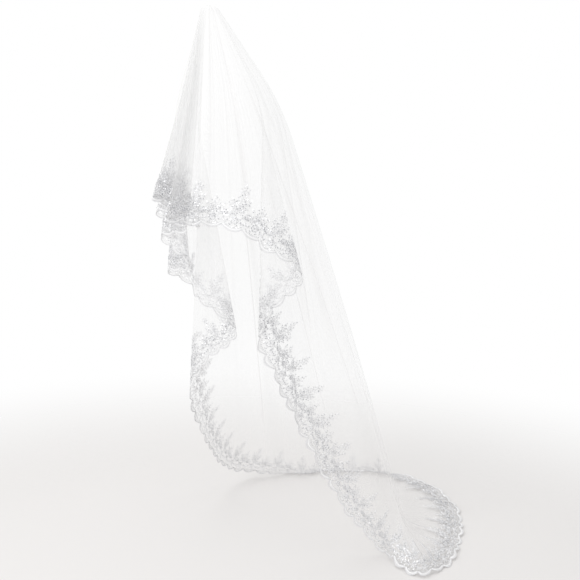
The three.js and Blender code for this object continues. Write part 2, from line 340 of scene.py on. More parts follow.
def inward(arc, w):
    # the row number and distance from the crown, straight in from the hem by w
    def flat(s):
        p, total, angle = rowWhere(stationArc, s)
        return total * np.cos(angle), total * np.sin(angle), angle, p

    reach = veil["tangentReach"] + w
    here, back, on = flat(arc), flat(arc - reach), flat(arc + reach)
    tx, ty = on[0] - back[0], on[1] - back[1]
    size = np.hypot(tx, ty)
    x, y = here[0] - ty / size * w, here[1] + tx / size * w
    angle = np.arctan2(y, x)
    angle += 2 * np.pi * np.round((here[2] - angle) / (2 * np.pi))
    p = rowWhere(stationAngle, angle)[0]
    return np.where(w == 0, here[3], p), np.hypot(x, y)


def clothAt(p, rho):
    # the middle of the cloth at row numbers p and distances rho from the crown
    placed, atOnce = np.empty((len(p), 3)), 30000
    for first in range(0, len(p), atOnce):
        part = slice(first, first + atOnce)
        placed[part] = clothPart(p[part], rho[part])
    return placed


def clothPart(p, rho):
    line = lineAt(p)
    points, lengths, total = line["points"], line["lengths"], line["total"]
    r = np.clip(rho, 0, total)
    k = np.clip((lengths < r[:, None]).sum(axis=1), 1, lengths.shape[1] - 1)
    rows = np.arange(len(p))
    low, high = lengths[rows, k - 1], lengths[rows, k]
    t = (r - low) / np.maximum(high - low, 1e-9)
    at = points[rows, k - 1] + (points[rows, k] - points[rows, k - 1]) * t[:, None]
    hangTo = total - line["run"]
    down = np.clip((r - line["bendAt"]) / np.maximum(hangTo - line["bendAt"], 1), 0, 1)
    long = ease((hangTo - veil["billowFrom"]) / veil["billowOver"])
    swell = veil["trainBillow"] * np.sin(np.pi * down) * long
    arc = np.interp(np.mod(p, rowCount), stationRow, stationArc)
    wave = veil["rippleDepth"] * (r / total) ** 2 * np.sin(
        2 * np.pi * veil["rippleCount"] * arc / hemLength)
    lying = (ease((r - hangTo + veil["lyingBefore"]) / veil["lyingOver"])
             * ease(line["run"] / veil["lyingRun"]))
    push = swell + wave * (1 - lying)
    floorZ = -veil["crownHeight"] + veil["clearOfFloor"]
    return np.column_stack([
        at[:, 0] + line["away"][:, 0] * push,
        at[:, 1] + line["away"][:, 1] * push,
        np.maximum(at[:, 2], floorZ) + lying * (veil["rippleDepth"] + wave) * veil["lyingLift"]])


def edgeDepth(s):
    # how far in from the hem line the scalloped edge runs; s counts scallops along the hem
    x = 2 * (s - np.floor(s)) - 1
    return veil["scallopDepth"] * np.abs(x) ** veil["scallopPower"]


print("shape: hem %.2f m, %d repeats, flat opening %.0f degrees"
      % (hemLength / 1000, repeats, math.degrees(openAngle)))


# Meshes made from arrays

flatSheet = 5000.0              # millimetres of the flat cut over the whole of its UV map
cordSheet = 200.0               # and of a cord's run


def meshFrom(name, points, faces, uv=None, tones=None):
    # a mesh from arrays: points in millimetres, faces of one size, uv per point or per corner
    mesh = bpy.data.meshes.new(name)
    size = faces.shape[1]
    mesh.vertices.add(len(points))
    mesh.vertices.foreach_set("co", (points * 0.001).astype(np.float32).ravel())
    mesh.loops.add(faces.size)
    mesh.loops.foreach_set("vertex_index", faces.astype(np.int32).ravel())
    mesh.polygons.add(len(faces))
    mesh.polygons.foreach_set("loop_start", np.arange(0, faces.size, size, dtype=np.int32))
    mesh.polygons.foreach_set("use_smooth", np.ones(len(faces), dtype=bool))
    mesh.update(calc_edges=True)
    if uv is not None:
        layer = mesh.uv_layers.new(name="flatCut")
        corners = uv[faces.ravel()] if len(uv) == len(points) else uv
        layer.data.foreach_set("uv", corners.astype(np.float32).ravel())
    for label, values in (tones or {}).items():
        attribute = mesh.attributes.new(label, "FLOAT", "POINT")
        attribute.data.foreach_set("value", values.astype(np.float32))
    piece = bpy.data.objects.new(name, mesh)
    scene.collection.objects.link(piece)
    return piece


# The tulle

tulle = {
    "columnsPerScallop": 8,
    "bandRows": (0, 5, 11, 19, 28, 38, 50, 63, 77, 91, 106, 121, 136, 152),  # in from the hem
    "upperRows": 76,            # from there to the crown
    "crownGap": 9.0,            # from the last row to the crown's middle
    "gatherCount": 230,         # fine gathers that run down from the crown
    "gatherWidth": 0.0019,      # share of the way round
    "gatherReach": 650.0,       # millimetres down from the crown
    "upperEasing": 0.92,        # rows lie a little closer together towards the crown
    "seed": 11,
}


def foldDensity(p, rho):
    # where the net lies in fine gathers below the crown, as narrow streaks down the lines
    rng = np.random.default_rng(tulle["seed"])
    around = np.interp(np.mod(p, rowCount), stationRow, stationAngle) / openAngle
    streaks = np.zeros(len(p))
    for k in range(tulle["gatherCount"]):
        middle, width = rng.random(), tulle["gatherWidth"] * rng.uniform(0.5, 1.4)
        strength = rng.uniform(0.2, 1.0) ** 2
        reach = tulle["gatherReach"] * rng.uniform(0.4, 1.8)
        gap = np.abs(around - middle)
        gap = np.minimum(gap, 1 - gap)
        near = gap < 3 * width
        streaks[near] += (strength * np.exp(-(gap[near] / width) ** 2)
                          * np.exp(-rho[near] / reach))
    return np.clip(streaks, 0, 1)


def buildTulle():
    # rows of points from the hem over the lace band, and on up to the crown
    columns = 2 * repeats * tulle["columnsPerScallop"]
    s = np.arange(columns) / tulle["columnsPerScallop"]
    edge = edgeDepth(s)
    numbers, rho = [], []
    for w in tulle["bandRows"]:
        p, r = inward(s * scallopLength, edge + (veil["plainLine"] - edge) * w / veil["plainLine"])
        numbers.append(p)
        rho.append(r)
    plainRow, plain = numbers[-1], rho[-1]
    for share in np.linspace(0, 1, tulle["upperRows"] + 1)[1:] ** tulle["upperEasing"]:
        numbers.append(plainRow)
        rho.append(plain + (tulle["crownGap"] - plain) * share)
    numbers, rho = np.concatenate(numbers), np.concatenate(rho)

    points = np.vstack([clothAt(numbers, rho), [[0, 0, 0]]])
    gathers = np.append(foldDensity(numbers, rho), 0.5)
    grid = np.arange(len(rho)).reshape(-1, columns)
    along = np.roll(grid, -1, axis=1)
    quads = np.stack([grid[:-1], along[:-1], along[1:], grid[1:]], -1).reshape(-1, 4)
    top, apex = grid[-1], np.full(columns // 2, len(rho))
    cap = np.stack([top[0::2], top[1::2], np.roll(top, -2)[0::2], apex], -1)
    faces = np.vstack([quads, cap])

    # where each corner lies in the flat cut, and a last turn for the faces over its seam
    lap = np.floor(numbers / rowCount)
    angle = np.interp(numbers - lap * rowCount, stationRow, stationAngle) + lap * openAngle
    angle, rho = np.append(angle, 0), np.append(rho, 0)
    overSeam = (faces % columns == 0) & (faces[:, :1] % columns >= columns - 2)
    turns = angle[faces] + openAngle * overSeam
    flat = np.stack([rho[faces] * np.cos(turns), rho[faces] * np.sin(turns)], -1)
    piece = meshFrom("veilTulle", points, faces, flat.reshape(-1, 2) / flatSheet + 0.5,
                     {"gather": gathers})
    area = sum(face.area for face in piece.data.polygons)
    print("tulle: %d faces, %.2f square metres" % (len(piece.data.polygons), area))
    return piece


tullePiece = buildTulle()


# The lace motif, flat, in millimetres: s along the hem, w in from it, h above the net

lace = {
    "repeatLength": 120.0,
    "offset": 0.95,             # above the middle of the tulle
    "outlineWidth": 1.35,       # cord round each leaf and petal
    "outlineRise": 0.8,
    "fillHeight": 0.25,
    "outlineReach": 1.25,       # its inner line lies this many widths in from its outer one
    "leafSlimness": 0.45,       # width to length
    "leafBend": 24.0,           # degrees
    "leafLean": 58.0,           # degrees from the stem at its foot
    "leafLeanLess": 20.0,       # and this much less at its tip
    "leafStray": 7.0,           # degrees that a sprig's leaf may stray
    "endLeaf": 1.15,            # a sprig's last leaf, as a share of its tip's leaf length
    "petalShape": (0.2, 0.86, 0.6),  # foot's distance, length, width, as shares of its size
    "stemWidth": 1.6,
    "vineDepth": 43.0,          # the main stem winds about this far in from the hem
    "vineWave": 4.5,
    "vineShift": 0.6,
    "vineLeaves": 8,            # pairs in a repeat
    "vineLeafLengths": (13.5, 12.5),  # leaning on along the stem, and back
    "vineLeafLeans": (50, 46),  # degrees out from the stem
    "vineLeafStray": 10.0,
    "edgeLeaves": (-64, -24, 24, 64),  # between a flower and the edge, degrees round it
    "edgeLeafRing": (13.0, 8.0),  # from the flower's middle, along and across the hem
    "edgeLeafLength": 10.5,
    "valleyLeaves": (-38, 0, 38),  # over each valley, degrees from straight in
    "valleyLeaf": (20, 15.0, 6.8),  # its foot's distance in, length and width
    "picotSpan": 28.0,          # picots reach this far to each side of a scallop's tip
    "picotGap": 4.0,
    "picotReach": 2.3,
    "picotWidth": 0.8,
    "picotRise": 0.4,
    "sequinSpan": 23.0,         # a row of sequins inside each scallop, to each side of its tip
    "sequinsInRow": 9,
    "sequinInset": 11.6,
    "sequinRadius": 1.5,
    "sequinSides": 7,
    "longLeaf": 11.0,           # leaves over this length have three sequins, others two
    "beadRadius": 0.9,
    "looseBeads": 26,
    "beadBand": (18, 64),       # least and most distance in from the hem
    "gridStep": 4.0,            # between the rows that the motif is laid along
    "seed": 5,
}

# cords along a scallop: kind, distance in from its edge, share of its depth, width,
# height and points left off at each end
scallopCords = (
    ("cords", 1.2, 1.0, 2.6, 1.2, 0),
    ("satin", 5.2, 0.9, 3.2, 1.0, 1),
    ("cords", 8.8, 0.84, 1.2, 0.7, 2),
)

# s, w, size of a petal, number of petals
flowers = (
    (30, 31, 11.5, 7),          # one in each scallop
    (90, 31, 11.5, 7),
    (60, 50, 9.5, 6),           # and one over each valley
    (0, 50, 9.5, 6),
)

# the stem's points as (s, w), length of a leaf at the foot and at the tip, gap between pairs
sprigs = {
    "tall": (((30, 44), (27, 66), (32, 92), (30, 119)), 19.0, 14.5, 13.5),
    "tallLeft": (((28, 54), (18, 66), (11, 82)), 14.0, 11.0, 11.5),
    "tallRight": (((30, 58), (41, 70), (49, 86)), 14.0, 11.0, 11.5),
    "short": (((90, 44), (93, 58), (89, 81)), 17.0, 14.0, 12.5),
    "shortRight": (((91, 48), (101, 56), (108, 66)), 13.0, 10.5, 10.5),
    "shortLeft": (((89, 48), (79, 56), (72, 66)), 13.0, 10.5, 10.5),
}


class Motif:  # collects small shapes as points, triangles and a running length for each point

    def __init__(self):
        self.points, self.faces, self.along, self.count = [], [], [], 0

    def add(self, points, faces, along):
        self.points.append(np.asarray(points, float))
        self.faces.append(np.asarray(faces, int) + self.count)
        self.along.append(np.asarray(along, float))
        self.count += len(points)

    def arrays(self):
        return np.vstack(self.points), np.vstack(self.faces), np.concatenate(self.along)


leafStops = np.array([0.0, 0.16, 0.42, 0.70, 0.90, 1.0])
leafHalf = np.array([0.0, 0.62, 1.0, 0.88, 0.48, 0.0])
leafFill = ((0, 1, 9), (1, 2, 8), (1, 8, 9), (2, 3, 7), (2, 7, 8), (3, 4, 6), (3, 6, 7), (4, 5, 6))


def leafOutline(s, w, heading, length, width, bend):
    # points round a leaf: its foot, up the left side, its tip and down the right side
    angle = math.radians(heading) + math.radians(bend) * (leafStops - 0.5)
    mean = 0.5 * (angle[1:] + angle[:-1])
    steps = np.diff(leafStops)[:, None] * length * np.column_stack([np.sin(mean), np.cos(mean)])
    rib = np.vstack([[[s, w]], np.array([s, w]) + np.cumsum(steps, axis=0)])
    side = np.column_stack([np.cos(angle), -np.sin(angle)]) * (0.5 * width * leafHalf)[:, None]
    left, right = (rib - side)[1:-1], (rib + side)[1:-1]
    return np.vstack([rib[:1], left, rib[-1:], right[::-1]])


def addLeaf(parts, rng, s, w, heading, length, width=None, bend=0.0):
    # a raised cord round a thin fill; heading 0 points in from the hem, + to larger s
    width = length * lace["leafSlimness"] if width is None else width
    outer = leafOutline(s, w, heading, length, width, bend)
    middle = outer.mean(axis=0)
    reach = np.linalg.norm(outer - middle, axis=1)
    share = np.maximum(1 - lace["outlineReach"] * lace["outlineWidth"] / reach, 0.25)[:, None]
    inner = middle + (outer - middle) * share
    n = len(outer)
    ring = [(k, n + (k + 1) % n, (k + 1) % n) for k in range(n)]
    ring += [(k, n + k, n + (k + 1) % n) for k in range(n)]
    run = np.concatenate([[0], np.cumsum(np.linalg.norm(np.diff(outer, axis=0), axis=1))])
    cord = np.vstack([np.column_stack([outer, np.zeros(n)]),
                      np.column_stack([inner, np.full(n, lace["outlineRise"])])])
    parts["outlines"].add(cord, ring, np.tile(run, 2))
    parts["fills"].add(np.column_stack([inner, np.full(n, lace["fillHeight"])]),
                       np.array(leafFill)[:, ::-1], run)
    dots = (2, 5, 8) if length > lace["longLeaf"] else (3, 7)
    for k in dots:
        spot = middle + (outer[k] - middle) * 0.86
        addSequin(parts, rng, spot[0], spot[1], rng.uniform(0.8, 1.1))


def addCord(parts, path, width, rise, kind="cords"):
    # a raised cord, a ridge of two faces, along a path of (s, w) points
    path = np.asarray(path, float)
    tangent = np.gradient(path, axis=0)
    tangent /= np.maximum(np.linalg.norm(tangent, axis=1), 1e-9)[:, None]
    side = np.column_stack([-tangent[:, 1], tangent[:, 0]]) * width / 2
    points = np.stack([
        np.column_stack([path - side, np.zeros(len(path))]),
        np.column_stack([path, np.full(len(path), rise)]),
        np.column_stack([path + side, np.zeros(len(path))])], 1).reshape(-1, 3)
    run = np.concatenate([[0], np.cumsum(np.linalg.norm(np.diff(path, axis=0), axis=1))])
    last = 3 * (len(path) - 1)
    faces = [(0, 1, 2), (last, last + 2, last + 1)]
    for a in range(0, last, 3):
        faces += [(a, a + 3, a + 4), (a, a + 4, a + 1), (a + 1, a + 4, a + 5), (a + 1, a + 5, a + 2)]
    parts[kind].add(points, faces, np.repeat(run, 3))


def addSequin(parts, rng, s, w, size=1.0):
    # a small round disc, tipped a little so that it catches the light
    sides, radius = lace["sequinSides"], lace["sequinRadius"] * size
    tilt, heading = rng.uniform(0.2, 0.8), rng.uniform(0, 2 * math.pi)
    angle = np.linspace(0, 2 * np.pi, sides, endpoint=False)
    height = lace["outlineRise"] + tilt * (1 + np.cos(angle - heading))
    ring = np.column_stack([s + radius * np.cos(angle), w + radius * np.sin(angle), height])
    points = np.vstack([ring, [[s, w, height.mean() + 0.2]]])
    faces = [((k + 1) % sides, k, sides) for k in range(sides)]
    parts["beads"].add(points, faces, np.zeros(sides + 1))


def addBead(parts, s, w, radius):
    angle = np.linspace(0, 2 * np.pi, 6, endpoint=False)
    base = lace["outlineRise"]
    low = np.column_stack([s + radius * np.cos(angle), w + radius * np.sin(angle), np.full(6, base)])
    high = np.column_stack([s + 0.7 * radius * np.cos(angle), w + 0.7 * radius * np.sin(angle),
                            np.full(6, base + radius * 0.9)])
    points = np.vstack([low, high, [[s, w, base + radius * 1.2]]])
    faces = []
    for k in range(6):
        n = (k + 1) % 6
        faces += [(n, k, 6 + n), (6 + n, k, 6 + k), (6 + n, 6 + k, 12)]
    parts["beads"].add(points, faces, np.zeros(13))


def addFlower(parts, rng, s, w, petal, petals):
    turn = rng.uniform(0, 360)
    foot, length, width = (share * petal for share in lace["petalShape"])
    for k in range(petals):
        heading = turn + k * 360 / petals
        addLeaf(parts, rng, s + foot * math.sin(math.radians(heading)),
                w + foot * math.cos(math.radians(heading)), heading, length, width)
    addBead(parts, s, w, 1.8 * lace["beadRadius"])


def addSprig(parts, rng, path, foot, tip, gap):
    # a curved stem with pairs of leaves that shorten to the tip, and a leaf at its end
    path = np.asarray(path, float)
    knots, t = np.linspace(0, 1, len(path)), np.linspace(0, 1, 12)
    curve = np.column_stack([np.interp(t, knots, path[:, 0]), np.interp(t, knots, path[:, 1])])
    for smoothing in range(2):
        curve[1:-1] = 0.25 * curve[:-2] + 0.5 * curve[1:-1] + 0.25 * curve[2:]
    addCord(parts, curve, lace["stemWidth"], lace["outlineRise"])
    run = np.concatenate([[0], np.cumsum(np.linalg.norm(np.diff(curve, axis=0), axis=1))])
    at = gap * 0.4
    while at < run[-1] - 0.25 * gap:
        share = at / run[-1]
        s, w = np.interp(at, run, curve[:, 0]), np.interp(at, run, curve[:, 1])
        k = min(max(int(np.searchsorted(run, at)), 1), len(curve) - 1)
        step = curve[k] - curve[k - 1]
        heading = math.degrees(math.atan2(step[0], step[1]))
        for side in (-1, 1):
            stray = rng.uniform(-lace["leafStray"], lace["leafStray"])
            lean = side * (lace["leafLean"] - lace["leafLeanLess"] * share + stray)
            length = (foot + (tip - foot) * share) * rng.uniform(0.9, 1.1)
            addLeaf(parts, rng, s + side * 0.6, w + side * rng.uniform(0, 1.5), heading + lean,
                    length, bend=-side * lace["leafBend"])
        at += gap * (1 - 0.2 * share)
    step = curve[-1] - curve[-2]
    addLeaf(parts, rng, *curve[-1], math.degrees(math.atan2(step[0], step[1])),
            tip * lace["endLeaf"])


def addScallop(parts, rng, tip):
    # the corded edge round one scallop, with picots outside and leaves inside
    pitch, half, power = veil["scallopPitch"], veil["scallopPitch"] / 2, veil["scallopPower"]
    s = np.linspace(tip - half, tip + half, 21)
    edge = edgeDepth(s / pitch)
    for kind, inset, share, width, rise, off in scallopCords:
        kept = slice(off, len(s) - off)
        addCord(parts, np.column_stack([s[kept], edge[kept] * share + inset]), width, rise, kind)
    for ps in np.arange(tip - lace["picotSpan"], tip + lace["picotSpan"] + 0.1, lace["picotGap"]):
        slope = power * veil["scallopDepth"] / half * abs((ps - tip) / half) ** (power - 1)
        out = math.pi - math.atan(slope * np.sign(ps - tip))
        base = np.array([ps, edgeDepth(ps / pitch) + 0.4])
        away = np.array([math.sin(out), math.cos(out)])
        side = np.array([away[1], -away[0]])
        top = base + away * lace["picotReach"]
        loop = [base - side * 1.2, top - side * 0.5, top + side * 0.5, base + side * 1.2]
        addCord(parts, loop, lace["picotWidth"], lace["picotRise"])
    for ps in np.linspace(tip - lace["sequinSpan"], tip + lace["sequinSpan"], lace["sequinsInRow"]):
        addSequin(parts, rng, ps, edgeDepth(ps / pitch) * 0.8 + lace["sequinInset"])
    ringAlong, ringIn = lace["edgeLeafRing"]
    for turn in lace["edgeLeaves"]:
        out = math.radians(180 - turn)
        addLeaf(parts, rng, tip + ringAlong * math.sin(out), flowers[0][1] + ringIn * math.cos(out),
                180 - 1.5 * turn, lace["edgeLeafLength"], bend=-0.4 * turn)


def vineDepth(s):
    wave = np.sin(2 * np.pi * np.asarray(s) / veil["scallopPitch"] + lace["vineShift"])
    return lace["vineDepth"] + lace["vineWave"] * wave


def buildMotif():
    rng = np.random.default_rng(lace["seed"])
    parts = {name: Motif() for name in ("outlines", "fills", "cords", "satin", "beads")}
    pitch, repeat = veil["scallopPitch"], lace["repeatLength"]
    for tip in (0.5 * pitch, 1.5 * pitch):
        addScallop(parts, rng, tip)
    foot, length, width = lace["valleyLeaf"]
    for valley in (0.0, pitch):
        for heading in lace["valleyLeaves"]:
            addLeaf(parts, rng, valley + 0.08 * heading, foot, heading, length, width)
    s = np.linspace(0, repeat, 41)
    addCord(parts, np.column_stack([s, vineDepth(s)]), lace["stemWidth"], lace["outlineRise"])
    for k in range(lace["vineLeaves"]):
        at, side = (k + 0.5) * repeat / lace["vineLeaves"], 1 if k % 2 else -1
        for way, length, lean in zip((1, -1), lace["vineLeafLengths"], lace["vineLeafLeans"]):
            stray = rng.uniform(-lace["vineLeafStray"], lace["vineLeafStray"])
            addLeaf(parts, rng, at, float(vineDepth(at)), way * (90 - side * lean) + stray, length,
                    bend=-way * side * lace["leafBend"])
    for s, w, petal, petals in flowers:
        addFlower(parts, rng, s, w, petal, petals)
    for stem, foot, tip, gap in sprigs.values():
        addSprig(parts, rng, stem, foot, tip, gap)
    for k in range(lace["looseBeads"]):
        addBead(parts, rng.uniform(0, repeat), rng.uniform(*lace["beadBand"]), lace["beadRadius"])
    return {name: motif.arrays() for name, motif in parts.items()}


# The lace laid on the cloth

def bandGrid():
    # positions and outward directions over the lace band, to lay small shapes on
    perScallop = tulle["columnsPerScallop"]
    columns = 2 * repeats * perScallop
    depths = np.arange(0, veil["plainLine"] + 5, lace["gridStep"])
    arc = np.arange(columns) / perScallop * scallopLength
    places = []
    for w in depths:
        p, rho = inward(arc, np.full(columns, w))
        places.append(clothAt(p, rho))
    places = np.stack(places)
    across = np.roll(places, -1, axis=1) - np.roll(places, 1, axis=1)
    inwards = np.gradient(places, axis=0)
    normals = np.cross(across, inwards)
    normals /= np.maximum(np.linalg.norm(normals, axis=2), 1e-9)[:, :, None]
    return places, normals, depths


def layOn(grid, points):
    # motif points over every repeat, as millimetre positions on the cloth
    places, normals, depths = grid
    columns = places.shape[1]
    perRepeat = columns // repeats
    s = points[:, 0] / lace["repeatLength"] * perRepeat
    w = points[:, 1] / (depths[1] - depths[0])
    row = np.clip(np.floor(w).astype(int), 0, len(depths) - 2)
    tw = (w - row)[:, None]
    laid = []
    for k in range(repeats):
        column = s + k * perRepeat
        c0 = np.floor(column).astype(int)
        tc = (column - c0)[:, None]
        a, b = c0 % columns, (c0 + 1) % columns
        spot = ((places[row, a] * (1 - tc) + places[row, b] * tc) * (1 - tw)
                + (places[row + 1, a] * (1 - tc) + places[row + 1, b] * tc) * tw)
        up = ((normals[row, a] * (1 - tc) + normals[row, b] * tc) * (1 - tw)
              + (normals[row + 1, a] * (1 - tc) + normals[row + 1, b] * tc) * tw)
        laid.append(spot + up * (lace["offset"] + points[:, 2])[:, None])
    return np.vstack(laid)


def buildLace():
    grid = bandGrid()
    pieces = {}
    for kind, (points, faces, along) in buildMotif().items():
        laid = layOn(grid, points)
        every = np.vstack([faces + k * len(points) for k in range(repeats)])
        uv = np.tile(np.column_stack([along / cordSheet, points[:, 2] / 10]), (repeats, 1))
        pieces[kind] = meshFrom("lace" + kind.capitalize(), laid, every, uv)
        print("%s: %d triangles" % (pieces[kind].name, len(every)))
    return pieces


lacePieces = buildLace()


# Materials

def newMaterial(name):
    material = bpy.data.materials.new(name)
    material.use_nodes = True
    tree = material.node_tree
    tree.nodes.clear()
    shader = addNode(tree, "ShaderNodeBsdfPrincipled", (200, 0))
    output = addNode(tree, "ShaderNodeOutputMaterial", (500, 0))
    join(tree, shader, "BSDF", output, "Surface")
    return material, tree, shader


net = {
    "pitch": 2.0,               # millimetres between holes
    "holeAlpha": 0.05,
    "threadAlpha": 0.27,
    "gatherAlpha": 0.36,
    "creaseAlpha": 0.33,
    "shadeAlpha": 0.15,         # and this much more for each unit of shade in the fold
    "creaseFade": 120.0,        # millimetres over which a crease fades in and out
    "sheen": 0.2,
    "specular": 0.25,
    "colour": (0.90, 0.90, 0.90),
    "uneven": 0.06,             # the colour varies by this share, more and less
    "unevenScale": 3.0,         # how fine that variation is
    "shadeColour": (0.52, 0.52, 0.53),
    "holeRoughness": 0.48,
    "threadRoughness": 0.60,
    "threadEdge": (-0.35, -0.95),   # the hexNet group's wave, where a thread begins and is full
    "creases": (                # row number, from and to in millimetres from the crown,
                                # half width, strength of the shade in the fold
        ("trainRidge", 21.0, 250, 1760, 4.5, 0),
        ("trainFold", 22.0, 560, 1880, 4.0, 0),
        ("rightHemFold", 24.0, 700, 1780, 4.5, 0),
        ("backFold", 18.5, 330, 1500, 3.0, 0),
        ("leftBackFold", 13.2, 260, 1500, 3.0, 0),
        ("leftSideFold", 10.2, 300, 1150, 3.5, 0),
        ("cornerFold", 4.3, 340, 780, 3.5, 0),
        ("armFold", 1.6, 200, 640, 3.0, 0),
        ("poolFold", 14.6, 1905, 2105, 5.0, 1.6),
        ("poolShortFold", 15.7, 1885, 2050, 4.0, 1.3),
        ("poolRimFold", 16.8, 1890, 2200, 4.0, 0.9),
    ),
}


def newGroup(name, vectors, numbers, results):
    # a node group with vectors and numbers going in and numbers coming out
    group = bpy.data.node_groups.new(name, "ShaderNodeTree")
    for labels, way, kind in ((vectors, "INPUT", "Vector"), (numbers, "INPUT", "Float"),
                              (results, "OUTPUT", "Float")):
        for label in labels:
            group.interface.new_socket(label, in_out=way, socket_type="NodeSocket" + kind)
    start = addNode(group, "NodeGroupInput", (-900, 0))
    end = addNode(group, "NodeGroupOutput", (700, 0))
    return group, start, end


def hexNetGroup():
    # a six-sided net: 1 on the threads and 0 in the holes, from a flat position and a pitch
    group, start, end = newGroup("hexNet", ["Place"], ["Pitch"], ["Thread"])
    rate = addNode(group, "ShaderNodeMath", (-700, -200), operation="DIVIDE")
    put(rate, 0, 4 * math.pi / math.sqrt(3))
    join(group, start, "Pitch", rate, 1)
    scaled = addNode(group, "ShaderNodeVectorMath", (-500, 0), operation="SCALE")
    join(group, start, "Place", scaled, 0)
    join(group, rate, "Value", scaled, "Scale")
    total = None
    for k in range(3):
        turn = math.radians(60 * k)
        dot = addNode(group, "ShaderNodeVectorMath", (-300, 150 - 150 * k), operation="DOT_PRODUCT")
        put(dot, 1, (math.cos(turn), math.sin(turn), 0))
        join(group, scaled, "Vector", dot, 0)
        wave = addNode(group, "ShaderNodeMath", (-100, 150 - 150 * k), operation="COSINE")
        join(group, dot, "Value", wave, 0)
        if total is None:
            total = wave
        else:
            both = addNode(group, "ShaderNodeMath", (80, 100 - 120 * k), operation="ADD")
            join(group, total, "Value", both, 0)
            join(group, wave, "Value", both, 1)
            total = both
    band = addNode(group, "ShaderNodeMapRange", (280, 0))
    put(band, "From Min", net["threadEdge"][0])
    put(band, "From Max", net["threadEdge"][1])
    join(group, total, "Value", band, "Value")
    join(group, band, "Result", end, "Thread")
    return group


def creaseGroup():
    # 1 on a straight crease that runs out from the crown in the flat cut, and 0 beside it
    group, start, end = newGroup(
        "creaseLine", ["Place", "Across", "Along"], ["Width", "From", "To"], ["Amount"])
    across = addNode(group, "ShaderNodeVectorMath", (-650, 200), operation="DOT_PRODUCT")
    along = addNode(group, "ShaderNodeVectorMath", (-650, -100), operation="DOT_PRODUCT")
    for dot, label in ((across, "Across"), (along, "Along")):
        join(group, start, "Place", dot, 0)
        join(group, start, label, dot, 1)
    aside = addNode(group, "ShaderNodeMath", (-450, 200), operation="ABSOLUTE")
    join(group, across, "Value", aside, 0)
    near = rangeTo(group, (-250, 200), 1, 0, interpolation_type="SMOOTHSTEP")
    join(group, aside, "Value", near, "Value")
    join(group, start, "Width", near, "From Max")
    ends = []
    for k, label in enumerate(("From", "To")):
        reach = addNode(group, "ShaderNodeMath", (-450, -50 - 200 * k), operation="ADD")
        put(reach, 1, net["creaseFade"] * (1 if label == "From" else -1))
        join(group, start, label, reach, 0)
        fade = addNode(group, "ShaderNodeMapRange", (-250, -50 - 200 * k),
                       interpolation_type="SMOOTHSTEP")
        join(group, along, "Value", fade, "Value")
        join(group, start, label, fade, "From Min")
        join(group, reach, "Value", fade, "From Max")
        ends.append(fade)
    both = addNode(group, "ShaderNodeMath", (50, -100), operation="MULTIPLY")
    join(group, ends[0], "Result", both, 0)
    join(group, ends[1], "Result", both, 1)
    amount = addNode(group, "ShaderNodeMath", (300, 50), operation="MULTIPLY")
    join(group, near, "Result", amount, 0)
    join(group, both, "Value", amount, 1)
    join(group, amount, "Value", end, "Amount")
    return group


def addCreases(tree, sized, total):
    # adds each crease to the net's cover, and joins those with shade in a second total
    shade, lines = None, creaseGroup()
    for k, (label, row, start, stop, width, strength) in enumerate(net["creases"]):
        turn = float(np.interp(row, stationRow, stationAngle))
        crease = addNode(tree, "ShaderNodeGroup", (-650, -350 - 220 * k), label=label)
        crease.node_tree = lines
        put(crease, "Across", (-math.sin(turn), math.cos(turn), 0))
        put(crease, "Along", (math.cos(turn), math.sin(turn), 0))
        put(crease, "Width", width)
        put(crease, "From", start)
        put(crease, "To", stop)
        join(tree, sized, "Vector", crease, "Place")
        added = addNode(tree, "ShaderNodeMath", (-400, -350 - 220 * k), operation="MULTIPLY_ADD")
        put(added, 1, net["creaseAlpha"] + net["shadeAlpha"] * strength)
        join(tree, crease, "Amount", added, 0)
        join(tree, total, "Value", added, 2)
        total = added
        if strength:
            darker = addNode(tree, "ShaderNodeMath", (-150, -350 - 220 * k), operation="MULTIPLY_ADD")
            put(darker, 1, strength)
            put(darker, 2, 0)
            join(tree, crease, "Amount", darker, 0)
            if shade:
                join(tree, shade, "Value", darker, 2)
            shade = darker
    return total, shade


